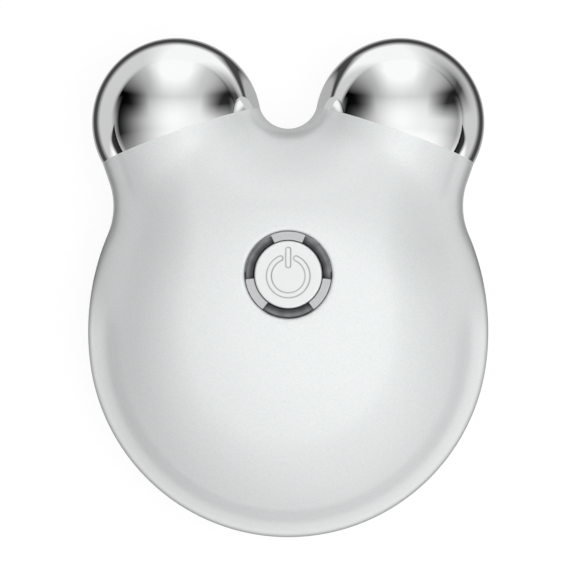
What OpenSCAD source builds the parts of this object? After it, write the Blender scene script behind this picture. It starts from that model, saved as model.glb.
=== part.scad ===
// Facial toning device: a palm-sized pearl-white housing with two chrome sphere electrodes and one power
// button in a lit ring. The device lies on its back: +X is right, +Y points to the spheres and +Z comes
// out of the button face. The origin is on the resting face, under the middle of the outline.

/* [Spheres] */
// Radius of each sphere electrode
sphere_r = 15.25; // [14:0.25:16]
// Distance of each sphere centre from the middle plane
sphere_x = 20.1; // [19.5:0.1:21.5]
// Distance of the sphere centres above the centre of the body circle
sphere_rise = 38.7; // [37:0.1:40.5]
// Outward lean of each sphere's axis, in degrees
neck_tilt = 19.3; // [17:0.1:22]
// How far below its centre each sphere is cut off where it seats on its neck
rim_drop = 2.6; // [1.8:0.1:3.6]
// Wall of the hollow spheres
sphere_wall = 1.4; // [1.1:0.1:2]
// Radius of the screw post inside each sphere
post_r = 3.2; // [2.6:0.1:4]

/* [Housing] */
// Radius of the round body
body_r = 36; // [34:0.5:38]
// Radius of the fuller flank between the body circle and the waist
flank_r = 45; // [42:0.5:50]
// Angle on the body circle at which the flank starts, in degrees
flank_from = -7; // [-12:0.5:-3]
// Radius of the hollow waist below each sphere
waist_r = 13; // [11:0.5:15]
// Rounding of the housing's edge all round the body
edge_r = 19; // [16:0.5:21]
// Distance along Y over which the edge rounding grows from the neck's to the body's
edge_blend = 30; // [20:1:40]
// Thickness from the resting face to the button face
depth = 39; // [37.5:0.25:41]
// Height of the button face above the parting plane
front_depth = 20.5; // [19:0.25:22]
// Share of the way out to the edge over which the resting face is flat
rest_share = 0.45; // [0.35:0.01:0.55]
// Wall of both shells
wall = 2; // [1.6:0.1:2.4]

/* [Shell joint] */
// Height of the tongue that stands on the rear shell
tongue_h = 1.5; // [1:0.1:2]
// Thickness of the tongue
tongue_t = 0.8; // [0.6:0.1:1]
// Width of each snap hook
hook_w = 6; // [4:0.5:8]
// Thickness of each snap hook's beam
hook_t = 1.3; // [1:0.1:1.6]
// Length of each snap hook below the parting plane
hook_l = 4.2; // [3.5:0.1:5]
// How far each hook's barb stands out
barb = 0.8; // [0.5:0.1:1]

/* [Button] */
// Distance of the button's axis above the centre of the body circle
button_rise = 11.2; // [9:0.1:14]
// Radius of the button cap
cap_r = 5.8; // [5:0.1:6.5]
// Width of the chrome ring round the cap
ring_w = 1.4; // [1.2:0.1:1.8]
// How far the chrome ring stands proud of the housing
ring_proud = 0.3; // [0.1:0.05:0.6]
// Travel of the button
button_travel = 0.5; // [0.3:0.05:0.8]
// Thickness of the cap's top and of its skirt
cap_wall = 1; // [0.8:0.1:1.4]
// Depth of the power symbol's channel in the cap
symbol_depth = 0.15; // [0.1:0.05:0.3]
// Mean radius of the power symbol's broken circle
symbol_r = 3.3; // [2.6:0.1:3.8]
// Width of the power symbol's stroke
symbol_w = 1; // [0.7:0.1:1.2]
// Angle that each light window takes up on the ring, in degrees
window_span = 48; // [36:1:60]

/* [Electronics] */
// Radius of the main board
board_r = 24; // [22:0.5:25]
// Thickness of the main board
board_t = 1.6; // [1.2:0.1:2]
// Half distance between the board bosses along X
boss_x = 16.5; // [15:0.5:18]
// Half distance between the board bosses along Y
boss_y = 12.5; // [11:0.5:13.5]
// Height of the switch body
switch_h = 3.5; // [3:0.1:4.3]
// Side of the switch body
switch_side = 6; // [5:0.5:6.5]
// Battery width, length and thickness
battery_w = 26; // [22:1:28]
battery_l = 36; // [30:1:38]
battery_h = 7; // [5:0.5:8]
// Thickness of the foam pad under the battery
pad_h = 2.6; // [2.2:0.1:3.2]
// Radius of the insulation of every lead
lead_r = 0.6; // [0.4:0.05:0.7]

/* [Charging port] */
// Width and height of the port's metal shell
port_w = 8.9; // [8.9:0.1:9.4]
port_h = 3.2; // [3.1:0.05:3.4]
// Length of the port's metal shell
port_l = 7.3; // [6.5:0.1:8]
// Distance of the port's axis below the parting plane
port_drop = 5; // [4:0.1:6]

/* [Clearances] */
// Gap between a sphere's electrode base and what it plugs into
plug_gap = 0.1; // [0.05:0.05:0.2]
// Gap between the button cap and its ring
cap_gap = 0.15; // [0.1:0.05:0.25]
// Gap between the two shells' tongue and groove, and round the hooks
joint_gap = 0.12; // [0.08:0.01:0.2]
// Gap between a screw and the hole that it passes through
screw_gap = 0.15; // [0.1:0.05:0.3]

/* [Hidden] */

pearl = "#ebf0ef";
chrome = "#c9cccf";
silicone = "#d8d8d4";
board_green = "#1f6b45";
steel = "#b8bcc0";

$fn = 64;
eps = 0.01;
far = 1000;
back_depth = depth - front_depth;
parting_z = back_depth;
body_c = [0, (body_r - sphere_rise - sphere_r) / 2];
sphere_y = body_c.y + sphere_rise;
button_c = [0, body_c.y + button_rise];

// ---- Outline of the housing: arcs that run into each other, given for the right half ----

// Directions along the right sphere's axis and across it
along = [sin(neck_tilt), cos(neck_tilt)];
across = [cos(neck_tilt), -sin(neck_tilt)];
rim_r = sqrt(pow(sphere_r, 2) - pow(rim_drop, 2));
rim_c = [sphere_x, sphere_y] - rim_drop * along;
rim_outer = rim_c + rim_r * across;
rim_inner = rim_c - rim_r * across;
flank_c = body_c - (flank_r - body_r) * [cos(flank_from), sin(flank_from)];
// The waist arc touches the flank arc and the straight side of the neck
waist_start = rim_outer + waist_r * across;
waist_run = (waist_start - flank_c) * along;
neck_l = waist_run - sqrt(pow(waist_run, 2) - pow(norm(waist_start - flank_c), 2)
                          + pow(flank_r + waist_r, 2));
waist_c = waist_start - neck_l * along;
flank_to = bearing(waist_c - flank_c);
// The saddle arc between the spheres leaves both rims along their axes
saddle_r = rim_inner.x / cos(neck_tilt);
saddle_c = [0, rim_inner.y + saddle_r * sin(neck_tilt)];
// The crown fades out on a circle that spans from the foot of the outline to the saddle
crown_top = saddle_c.y - saddle_r;
crown_r = (crown_top - body_c.y + body_r) / 2;
crown_c = [0, crown_top - crown_r];

function bearing(v) = atan2(v.y, v.x);
function between(a, lo, hi) = a >= lo && a <= hi;
function smooth(t) = let (u = max(0, min(1, t))) u * u * (3 - 2 * u);
function arc(c, r, from, to, n, first = 0) =
    [for (i = [first:n]) let (a = from + (to - from) * i / n) c + r * [cos(a), sin(a)]];

rim_steps = 12;
right_outline = concat(
    arc(body_c, body_r, -90, flank_from, 12),
    arc(flank_c, flank_r, flank_from, flank_to, 5, 1),
    arc(waist_c, waist_r, 180 + flank_to, 180 - neck_tilt, 6, 1),
    [for (i = [0:rim_steps]) rim_c + rim_r * cos(180 * i / rim_steps) * across],
    arc(saddle_c, saddle_r, -neck_tilt, -90, 4, 1));
half_n = len(right_outline);
outline = concat(right_outline, [for (i = [half_n - 2:-1:1]) [-right_outline[i].x, right_outline[i].y]]);
around = len(outline);

// Distance of a point inside the outline from the nearest free edge, the rims left out
function edge(p) = let (q = [abs(p.x), p.y],
                        body_v = q - body_c, flank_v = q - flank_c, waist_v = q - waist_c, rim_v = q - rim_c,
                        waist_b = (bearing(waist_v) + 360) % 360)
    min(bearing(body_v) <= flank_from ? body_r - norm(body_v) : far,
        between(bearing(flank_v), flank_from, flank_to) ? flank_r - norm(flank_v) : far,
        between(waist_b, 180 - neck_tilt, 180 + flank_to) ? norm(waist_v) - waist_r : far,
        -rim_v * along <= neck_l ? rim_r - rim_v * across : far,
        norm(q - saddle_c) - saddle_r);
// The same with the rim planes
function inside(p) = min(edge(p), (rim_c - [abs(p.x), p.y]) * along);
// Point at depth w inside the outline on the ray from the button's axis to point p, by halving
function inset(p, w, lo = 0, hi = 1, n = 28) = let (mid = (lo + hi) / 2, q = button_c + mid * (p - button_c))
    n == 0 ? q : inside(q) > w ? inset(p, w, mid, hi, n - 1) : inset(p, w, lo, mid, n - 1);
function ring(w) = w == 0 ? outline : [for (p = outline) inset(p, w)];
// The same on rays between the outline's own, so that no corner falls on another ring's
function ring_between(w) = [for (i = [0:around - 1])
    inset((2 * outline[i] + outline[(i + 1) % around]) / 3, w)];

// ---- Faces of the housing ----

// Share of the way from the button's axis to the crown circle
function share(p) = let (v = p - button_c, m = button_c - crown_c, b = v * m, l = norm(v))
    l < eps ? 0 : l * l / (sqrt(b * b + l * l * (crown_r * crown_r - m * m)) - b);
function front_crown(p) = pow(max(0, 1 - pow(share(p), 3)), 2);
function back_crown(p) = 1 - smooth((share(p) - rest_share) / (1 - rest_share));
function edge_radius(p) = rim_r + (edge_r - rim_r) * smooth((rim_outer.y - p.y) / edge_blend);
// Height of a face above the parting plane, w inside the outer surface: a rounded edge that carries a crown
function height(p, w, front) =
    let (r = edge_radius(p), q = 1 - (min(edge(p), r) - w) / (r - w),
         top = front ? rim_r + (front_depth - rim_r) * front_crown(p)
                     : rim_r + (back_depth - rim_r) * back_crown(p))
    (top - w) * sqrt(max(0, 1 - q * q));
// One shell without its fittings: an outer and an inner face on a polar grid about the button's axis
module half_shell(front) {
    rows_out = 12;
    rows_in = 8;
    inner = ring(wall);
    outer_rows = [for (j = [1:rows_out], p = outline)
        let (q = button_c + sin(90 * j / rows_out) * (p - button_c), z = height(q, 0, front))
        [q.x, q.y, z < 0.05 ? 0 : z]];
    inner_rows = [for (j = [1:rows_in], p = inner)
        let (q = button_c + sin(90 * j / rows_in) * (p - button_c), z = height(q, wall, front))
        [q.x, q.y, z < 0.05 ? 0 : z]];
    out_rim = (rows_out - 1) * around;
    in_base = rows_out * around;
    in_rim = in_base + (rows_in - 1) * around;
    out_foot = in_base + rows_in * around;
    in_foot = out_foot + around;
    out_pole = in_foot + around;
    points = concat(outer_rows, inner_rows,
                    [for (p = outline) [p.x, p.y, 0]], [for (p = inner) [p.x, p.y, 0]],
                    [[button_c.x, button_c.y, height(button_c, 0, front)],
                     [button_c.x, button_c.y, height(button_c, wall, front)]]);
    // A foot that lies on its rim point is that point
    function out_at(i) = points[out_rim + i].z == 0 ? out_rim + i : out_foot + i;
    function in_at(i) = points[in_rim + i].z == 0 ? in_rim + i : in_foot + i;
    function quad(a, b, c, d) = [for (t = [[a, b, c], [a, c, d]])
        if (t[0] != t[1] && t[1] != t[2] && t[2] != t[0]) t];
    faces = [for (i = [0:around - 1]) let (k = (i + 1) % around) each concat(
        [[out_pole, k, i]],
        [for (j = [0:rows_out - 2]) each let (a = j * around, b = a + around)
            quad(a + i, a + k, b + k, b + i)],
        quad(out_rim + i, out_rim + k, out_at(k), out_at(i)),
        quad(out_at(i), out_at(k), in_at(k), in_at(i)),
        quad(in_at(i), in_at(k), in_rim + k, in_rim + i),
        [for (j = [0:rows_in - 2]) each let (a = in_base + j * around, b = a + around)
            quad(b + i, b + k, a + k, a + i)],
        [[in_base + i, in_base + k, out_pole + 1]])];
    polyhedron(points = points, faces = faces);
}
// The solid inside the middle of a wall, which trims fittings so that they end within it
module mid_wall(front, foot) {
    rows = 8;
    border = ring(wall / 2);
    points = concat(
        [for (j = [1:rows], p = border) let (q = button_c + sin(90 * j / rows) * (p - button_c))
            [q.x, q.y, height(q, wall / 2, front)]],
        [for (p = border) [p.x, p.y, -foot]],
        [[button_c.x, button_c.y, height(button_c, wall / 2, front)], [button_c.x, button_c.y, -foot]]);
    faces = [for (i = [0:around - 1]) let (k = (i + 1) % around) each concat(
        [[(rows + 1) * around, k, i]],
        [for (j = [0:rows - 1]) each let (a = j * around, b = a + around)
            [[a + i, a + k, b + k], [a + i, b + k, b + i]]],
        [[rows * around + i, rows * around + k, (rows + 1) * around + 1]])];
    polyhedron(points = points, faces = faces);
}

// ---- Sizes of the fittings ----

touch = 0.05;
pilot_gap = 0.05;
pilot_spare = 0.5;
// Button: collar, chrome ring, light guide, cap, dome and switch
collar_w = 2.6;
collar_sink = 0.6;
flange_t = 0.8;
flange_in = 0.4;
seat_chamfer = 0.35;
ring_edge = 0.2;
lens_t = 1;
riser_inset = 0.4;
riser_gap = 0.1;
guide_gap = 0.25;
leg_in = 0.2;
leg_span = 14;
windows = [90, 210, 330];
lug_reach = 1.1;
lug_t = 0.7;
lug_span = 28;
cap_edge = 0.25;
stem_r = 1.5;
symbol_drop = 0.24;
symbol_break = 48;
bar_from = 1.33;
bar_to = 5;
dome_r = 6;
dome_t = 0.6;
dome_foot = [0.9, 0.5];
plunger_r = 1.7;
plunger_out = 0.8;
switch_floor = 1;
switch_pin = [1.2, 0.7, 0.3];
switch_pins = [3.1, 2];
led = [1.6, 0.8, 0.7];
// Board fixing
boss_r = 2.6;
screw_r = 0.8;
board_screw_l = 4.5;
board_screw_head = [1.8, 1.2];
// Parts under the main board: their places from its centre, and their sizes
chip_at = [-8, 8];
chip = [7, 5, 1.4];
chip_pin = [0.4, 1, 0.3];
pin_pitch = 1;
pin_sunk = 0.2;
pins_a_side = 7;
coil_at = [-8, -7];
coil_plate = [12, 10, 1.2];
coil_r = 3.4;
coil_h = 4.6;
coil_leg = [2, 8];
capacitor_at = [[10, -5], [10, -12]];
capacitor_r = 2.5;
capacitor_h = 7;
buzzer_at = [10, 5];
buzzer_r = 4.5;
buzzer_h = 4;
buzzer_port = [0.9, 1];
// Hooks between the shells
hook_angles = [-172, -128, -52, -8];
hook_inset = 0.8;
hook_root = 9;
catch_h = 1.3;
groove_past = 0.6;
// Battery tray
rib_t = 1.2;
rib_gap = 0.3;
rib_h = 4.5;
rib_l = 10;
end_rib_l = 6;
rib_shift = 5;
pad_w = 14;
socket = [7, 4.5, 4];
socket_at = [0, -18];
plug = [6, 4, 3];
battery_lead_x = 1.5;
battery_tab = 4;
// Charging port
port_metal = 0.3;
port_inset = 2;
port_gap = 0.2;
port_tongue = [6.6, 0.7];
port_back = 1;
port_tongue_gap = 0.5;
charger = [14, 9.5, 1];
charger_under_port = 2.8;
charger_boss = [5, 2.6];
charger_boss_r = 1.8;
charger_screw_r = 0.6;
charger_screw_l = 4;
charger_screw_head = [1.2, 0.9];
charger_chip_size = [3, 3, 0.9];
charger_lead = [2.2, 3.8];
charger_lead_in = 2;
// Electrode stack along each sphere's axis
base_t = 3;
spigot_r = 6;
clamp_r = 8.5;
clamp_t = 1.5;
seal_t = 0.8;
seal_in = 10.5;
seal_out = 12;
terminal_r = 3.2;
terminal_t = 0.5;
electrode_screw_r = 1.25;
electrode_screw_l = 13;
electrode_screw_head = [2.2, 1.6];
tail_w = 2.4;
tail_reach = 5.6;
lead_at = 4.6;
lead_out = 2.5;
lead_pad = [11, 19];

// ---- Derived places ----

button_top = parting_z + front_depth;
ring_in = cap_r + cap_gap;
ring_out = ring_in + ring_w;
ring_top = button_top + ring_proud;
seat_r = ring_out + joint_gap;
collar_r = seat_r + collar_w;
collar_z = parting_z + height([button_c.x, button_c.y + collar_r], wall, true) - collar_sink;
flange_r = collar_r - flange_in;
ring_foot = collar_z - flange_t;
riser_in = ring_in + riser_inset;
riser_out = ring_out - riser_inset;
guide_foot = ring_foot - flange_t;
lug_r = cap_r + lug_reach;
cap_foot = ring_foot - touch - lug_t;
guide_in = lug_r + guide_gap;
led_ring = (guide_in + flange_r) / 2;
plunger_top = cap_foot - touch;
board_top = plunger_top - plunger_out - switch_h;
board_foot = board_top - board_t;
bosses = [for (sx = [-1, 1], sy = [-1, 1]) [sx * boss_x, body_c.y + sy * boss_y]];
socket_c = body_c + socket_at;
plug_foot = board_foot - socket.z - plug.z;
hook_in = wall + hook_inset;
groove_h = tongue_h + joint_gap;
tongue_in = wall / 2;
floor_z = parting_z - height(button_c, wall, false);
battery_z = floor_z + pad_h;
port_z = parting_z - port_drop;
port_y = body_c.y - body_r + port_inset;
charger_z = port_z - port_h / 2;
charger_y = port_y + port_l - charger_under_port + charger.y / 2;
charger_bosses = [for (sx = [-1, 1]) [sx * charger_boss.x, charger_y + charger_boss.y]];
neck_in = rim_drop + wall;
base_top = base_t - rim_drop;
mouth_r = sqrt(pow(sphere_r - sphere_wall, 2) - pow(rim_drop, 2));
electrode_hole_r = electrode_screw_r + screw_gap;
clamp_foot = neck_in + clamp_t;
terminal_foot = clamp_foot + terminal_t;

// ---- Shared shapes ----

module at_neck(side) translate([side * sphere_x, sphere_y, parting_z])
    rotate([0, 0, -side * neck_tilt]) rotate([-90, 0, 0]) children();
module at_button(z = 0) translate([button_c.x, button_c.y, z]) children();
module tube_ring(r_in, r_out, z, h) rotate_extrude() translate([r_in, z]) square([r_out - r_in, h]);
// Part of a ring about the Z axis, centred on angle mid
module sector(r_in, r_out, mid, span, z, h) rotate([0, 0, mid - span / 2])
    rotate_extrude(angle = span) translate([r_in, z]) square([r_out - r_in, h]);
// Bar with round ends along X, lying along Y
module obround(w, h, l) rotate([-90, 0, 0]) {
    translate([-(w - h) / 2, -h / 2, 0]) cube([w - h, h, l]);
    for (s = [-1, 1]) translate([s * (w - h) / 2, 0, 0]) cylinder(r = h / 2, h = l);
}
// Pan-head screw pointing along +Z, its head below z = 0
module screw(r, l, head) {
    translate([0, 0, -head[1]]) cylinder(r = head[0], h = head[1]);
    translate([0, 0, -head[1] / 2]) cylinder(r = r, h = l + head[1] / 2);
}
module ring_prism(w_out, w_in, z, h) translate([0, 0, z]) linear_extrude(h) difference() {
    polygon(ring_between(w_out));
    polygon(ring_between(w_in));
}
// Way of a lead between two ends that it leaves along u and v, eased sideways and even in height
function route(a, b, u, v, n = 5) = let (from = a + u, to = b + v)
    concat([a], [for (i = [0:n]) let (m = smooth(i / n), k = i / n)
        [from.x + m * (to.x - from.x), from.y + m * (to.y - from.y), from.z + k * (to.z - from.z)]], [b]);
// Round lead along a list of points, with eight sides
module lead(path) {
    sides = 8;
    n = len(path);
    function unit(v) = v / norm(v);
    function run(i) = unit(path[min(n - 1, i + 1)] - path[max(0, i - 1)]);
    points = [for (i = [0:n - 1]) let (u = unit(cross(run(i), [1, 0, 0])), v = cross(run(i), u))
        for (k = [0:sides - 1]) path[i] + lead_r * (cos(360 * k / sides) * u + sin(360 * k / sides) * v)];
    faces = concat(
        [[for (k = [0:sides - 1]) k]],
        [for (i = [0:n - 2], k = [0:sides - 1]) each let (m = (k + 1) % sides, a = i * sides, b = a + sides)
            [[a + k, b + k, b + m], [a + k, b + m, a + m]]],
        [[for (k = [sides - 1:-1:0]) (n - 1) * sides + k]]);
    polyhedron(points = points, faces = faces);
}
// Puts a hook's frame on the outline, +X outwards
module at_hooks() {
    for (a = hook_angles) translate([body_c.x, body_c.y, parting_z] + body_r * [cos(a), sin(a), 0])
        rotate([0, 0, a]) children();
    translate([0, crown_top, parting_z]) rotate([0, 0, 90]) children();
}
module neck_bores() for (side = [-1, 1]) at_neck(side)
    translate([0, 0, -neck_in - 1]) cylinder(r = spigot_r + plug_gap, h = wall + 2);

// ---- Housing ----

// Snap hook that hangs from the front shell's wall
module hook() {
    translate([-hook_in - hook_t, -hook_w / 2, -hook_l]) cube([hook_t, hook_w, hook_l + hook_root]);
    rotate([90, 0, 0]) linear_extrude(hook_w, center = true)
        polygon([[-hook_in - hook_t / 2, -hook_l], [-hook_in, -hook_l], [-hook_in + barb, catch_h - hook_l],
                 [-hook_in - hook_t / 2, catch_h - hook_l]]);
}
// Recess in the rear shell's wall that a hook's barb snaps into
module hook_pocket() translate([-hook_in - barb, -hook_w / 2 - joint_gap, -hook_l - joint_gap])
    cube([2 * barb + joint_gap, hook_w + 2 * joint_gap, catch_h + 2 * joint_gap]);

module front_shell() color(pearl) difference() {
    union() {
        translate([0, 0, parting_z]) half_shell(true);
        intersection() {
            translate([0, 0, parting_z]) mid_wall(true, hook_l + 1);
            union() {
                at_button(collar_z) cylinder(r = collar_r, h = front_depth);
                for (b = bosses) translate([b.x, b.y, board_top]) cylinder(r = boss_r, h = front_depth);
                at_hooks() hook();
            }
        }
    }
    at_button(parting_z + wall) cylinder(r = seat_r, h = front_depth);
    at_button(button_top - seat_chamfer)
        cylinder(r1 = seat_r, r2 = seat_r + 2 * seat_chamfer, h = 2 * seat_chamfer);
    for (b = bosses) translate([b.x, b.y, board_top - eps])
        cylinder(r = screw_r + pilot_gap, h = board_screw_l - board_t + pilot_spare);
    ring_prism(tongue_in - joint_gap, wall + groove_past, parting_z - eps, groove_h + eps);
    neck_bores();
}

module rear_shell() color(pearl) difference() {
    union() {
        translate([0, 0, parting_z]) mirror([0, 0, 1]) half_shell(false);
        ring_prism(tongue_in, tongue_in + tongue_t, parting_z - tongue_t, tongue_h + tongue_t);
        intersection() {
            translate([0, 0, parting_z]) mirror([0, 0, 1]) mid_wall(false, 0);
            union() {
                battery_ribs();
                for (b = charger_bosses) translate([b.x, b.y, 0])
                    cylinder(r = charger_boss_r, h = charger_z - charger.z);
            }
        }
    }
    at_hooks() hook_pocket();
    translate([0, port_y - wall - 1, port_z])
        obround(port_w + 2 * port_gap, port_h + 2 * port_gap, 2 * wall + 2);
    for (b = charger_bosses) translate([b.x, b.y, charger_z - charger.z - charger_screw_l])
        cylinder(r = charger_screw_r + pilot_gap, h = charger_screw_l + eps);
    neck_bores();
}
// Four ribs round the battery
module battery_ribs() translate([body_c.x, body_c.y, 0]) for (s = [-1, 1]) {
    translate([s * (battery_w / 2 + rib_gap + rib_t / 2) - rib_t / 2, rib_shift - rib_l, 0])
        cube([rib_t, 2 * rib_l, battery_z + rib_h]);
    translate([-end_rib_l, s * (battery_l / 2 + rib_gap + rib_t / 2) - rib_t / 2, 0])
        cube([2 * end_rib_l, rib_t, battery_z + rib_h]);
}

// ---- Sphere electrodes ----

module sphere_electrode(side) color(chrome) at_neck(side) difference() {
    union() {
        difference() {
            sphere(sphere_r);
            sphere(sphere_r - sphere_wall);
        }
        translate([0, 0, base_top]) cylinder(r = post_r, h = sphere_r - sphere_wall / 2 - base_top);
    }
    translate([0, 0, -rim_drop - 2 * sphere_r]) cylinder(r = 2 * sphere_r, h = 2 * sphere_r);
    translate([0, 0, base_top - eps])
        cylinder(r = electrode_screw_r + pilot_gap, h = electrode_screw_l - clamp_foot);
}
module left_sphere() sphere_electrode(-1);
module right_sphere() sphere_electrode(1);

// Plug that closes a sphere's mouth and clamps it to the neck's end wall
module electrode_base(side) color("white") at_neck(side) rotate_extrude()
    polygon([[electrode_hole_r, base_top], [mouth_r - plug_gap, base_top], [mouth_r - plug_gap, -rim_drop],
             [seal_out + plug_gap, -rim_drop], [seal_out + plug_gap, seal_t - rim_drop],
             [seal_in - plug_gap, seal_t - rim_drop], [seal_in - plug_gap, -rim_drop],
             [spigot_r, -rim_drop], [spigot_r, -neck_in], [clamp_r, -neck_in], [clamp_r, -clamp_foot],
             [electrode_hole_r, -clamp_foot]]);
module left_electrode_base() electrode_base(-1);
module right_electrode_base() electrode_base(1);

module sphere_seal(side) color(silicone) at_neck(side)
    tube_ring(seal_in, seal_out, -rim_drop, seal_t);
module left_sphere_seal() sphere_seal(-1);
module right_sphere_seal() sphere_seal(1);

module electrode_terminals() color("#c9a94e") for (side = [-1, 1])
    at_neck(side) translate([0, 0, -terminal_foot]) difference() {
        union() {
            cylinder(r = terminal_r, h = terminal_t);
            translate([-tail_w / 2, -tail_reach, 0]) cube([tail_w, tail_reach, terminal_t]);
        }
        translate([0, 0, -eps]) cylinder(r = electrode_hole_r, h = terminal_t + 2 * eps);
    }
module electrode_screws() color(steel) for (side = [-1, 1])
    at_neck(side) translate([0, 0, -terminal_foot])
        screw(electrode_screw_r, electrode_screw_l, electrode_screw_head);

// Lead from a terminal's tail to the main board
module electrode_lead(side) color(side < 0 ? "#c0392b" : "#2c3e50") {
    tail = [sphere_x, sphere_y] - terminal_foot * along;
    pad = body_c + lead_pad;
    path = route([tail.x, tail.y, parting_z + lead_at], [pad.x, pad.y, board_foot],
                 -lead_out * [along.x, along.y, 0], [0, 0, -lead_out]);
    lead([for (p = path) [side * p.x, p.y, p.z]]);
}
module left_electrode_lead() electrode_lead(-1);
module right_electrode_lead() electrode_lead(1);

// ---- Button ----

// Hollow cap with three lugs under the ring and a stem that bears on the switch plunger
module button_cap() color(pearl) at_button() difference() {
    union() {
        rotate_extrude() polygon([[0, cap_foot], [cap_r, cap_foot], [cap_r, ring_top - cap_edge],
                                  [cap_r - cap_edge, ring_top], [0, ring_top]]);
        for (w = windows) sector(cap_r - cap_wall / 2, lug_r, w + 60, lug_span, cap_foot, lug_t);
    }
    difference() {
        translate([0, 0, cap_foot - eps]) cylinder(r = cap_r - cap_wall, h = ring_top - cap_wall - cap_foot);
        cylinder(r = stem_r, h = 2 * ring_top);
    }
    translate([0, 0, ring_top - symbol_depth]) power_symbol();
}
// Generic power symbol: a broken circle with a bar in its gap
module power_symbol() translate([0, -symbol_drop, 0]) {
    sector(symbol_r - symbol_w / 2, symbol_r + symbol_w / 2, 270, 360 - symbol_break, 0, 1);
    for (s = [-1, 1]) rotate([0, 0, 90 + s * symbol_break / 2]) translate([symbol_r, 0, 0])
        cylinder(r = symbol_w / 2, h = 1);
    translate([-symbol_w / 2, bar_from + symbol_w / 2, 0]) cube([symbol_w, bar_to - bar_from - symbol_w, 1]);
    for (y = [bar_from + symbol_w / 2, bar_to - symbol_w / 2])
        translate([0, y, 0]) cylinder(r = symbol_w / 2, h = 1);
}
// Chrome ring, notched for the three light windows, with a flange that bears on the collar from inside
module button_ring() color(chrome) at_button() difference() {
    rotate_extrude() polygon([[ring_in, ring_foot], [flange_r, ring_foot], [flange_r, collar_z],
        [ring_out, collar_z], [ring_out, ring_top - ring_edge], [ring_out - ring_edge, ring_top],
        [ring_in + ring_edge, ring_top], [ring_in, ring_top - ring_edge]]);
    for (w = windows) {
        sector(ring_in - 1, ring_out + 1, w, window_span, ring_top - lens_t, lens_t + 1);
        sector(riser_in - riser_gap, riser_out + riser_gap, w, window_span - 4, ring_foot - 1, ring_top);
    }
}
// Clear ring under the chrome one: a leg over each LED, a riser through the ring and a lens in its notch
module light_guide() color("#e8eef2") at_button() {
    tube_ring(guide_in, flange_r, guide_foot, flange_t);
    for (w = windows) {
        sector(riser_in, guide_in + eps, w, window_span - 6, guide_foot, flange_t);
        sector(riser_in, riser_out, w, window_span - 6, guide_foot, ring_top - lens_t - guide_foot + eps);
        sector(ring_in, ring_out, w, window_span - 1, ring_top - lens_t, lens_t - touch);
        sector(guide_in + leg_in, flange_r - leg_in, w, leg_span,
               board_top + led.z + touch, guide_foot - board_top - led.z);
    }
}
// Silicone dome that stands on the board round the switch and lifts the cap
module return_dome() color(silicone) at_button() rotate_extrude()
    polygon([[dome_r - dome_t, board_top], [dome_r + dome_foot.x, board_top],
             [dome_r + dome_foot.x, board_top + dome_foot.y], [dome_r, board_top + dome_foot.y],
             [cap_r, cap_foot - touch], [cap_r - cap_wall, cap_foot - touch],
             [cap_r - cap_wall, cap_foot - touch - dome_foot.y], [cap_r - dome_t, cap_foot - touch - dome_t]]);
module switch_body() color("#303236") at_button(board_top) difference() {
    union() {
        translate([-switch_side / 2, -switch_side / 2, 0]) cube([switch_side, switch_side, switch_h]);
        for (sx = [-1, 1], sy = [-1, 1])
            translate([sx * switch_pins.x - switch_pin.x / 2, sy * switch_pins.y - switch_pin.y / 2, 0])
                cube(switch_pin);
    }
    translate([0, 0, switch_floor]) cylinder(r = plunger_r + screw_gap, h = switch_h);
}
module switch_plunger() color("#111111") at_button(board_top + switch_floor + button_travel + touch)
    cylinder(r = plunger_r, h = plunger_top - board_top - switch_floor - button_travel - touch);

// ---- Main board ----

module main_board() color(board_green) difference() {
    translate([body_c.x, body_c.y, board_foot]) cylinder(r = board_r, h = board_t);
    for (b = bosses) translate([b.x, b.y, board_foot - 1]) cylinder(r = screw_r + screw_gap, h = board_t + 2);
}
module board_screws() color(steel) for (b = bosses) translate([b.x, b.y, board_foot])
    screw(screw_r, board_screw_l, board_screw_head);
module indicator_leds() color("#f4f1d8") for (w = windows) at_button(board_top) rotate([0, 0, w])
    translate([led_ring - led.y / 2, -led.x / 2, 0]) cube([led.y, led.x, led.z]);
// Puts +Z downwards on the underside of the main board, at a place given from its centre
module under_board(place) translate([body_c.x + place.x, body_c.y + place.y, board_foot])
    mirror([0, 0, 1]) children();
// Block of the given size centred on the axis
module block(size, z = 0) translate([-size.x / 2, -size.y / 2, z]) cube(size);
module microcontroller() color("#22252a") under_board(chip_at) {
    block(chip);
    for (s = [-1, 1], i = [0:pins_a_side - 1])
        translate([(i - (pins_a_side - 1) / 2) * pin_pitch, s * (chip.y + chip_pin.y - pin_sunk) / 2, 0])
            block(chip_pin);
}
module boost_transformer() color("#7a4a2a") under_board(coil_at) {
    block(coil_plate);
    block(coil_plate, coil_plate.z + coil_h);
    translate([0, 0, coil_plate.z / 2]) cylinder(r = coil_r, h = coil_h + coil_plate.z);
    for (s = [-1, 1]) translate([s * (coil_plate.x - coil_leg.x) / 2, 0, 0])
        block([coil_leg.x, coil_leg.y, coil_h + coil_plate.z], coil_plate.z / 2);
}
module capacitors() color("#2b3f66") for (c = capacitor_at)
    under_board(c) cylinder(r = capacitor_r, h = capacitor_h);
module buzzer() color("#1a1b1e") under_board(buzzer_at) difference() {
    cylinder(r = buzzer_r, h = buzzer_h);
    translate([0, 0, buzzer_h - buzzer_port.y]) cylinder(r = buzzer_port.x, h = 2 * buzzer_port.y);
}

// ---- Battery ----

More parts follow.
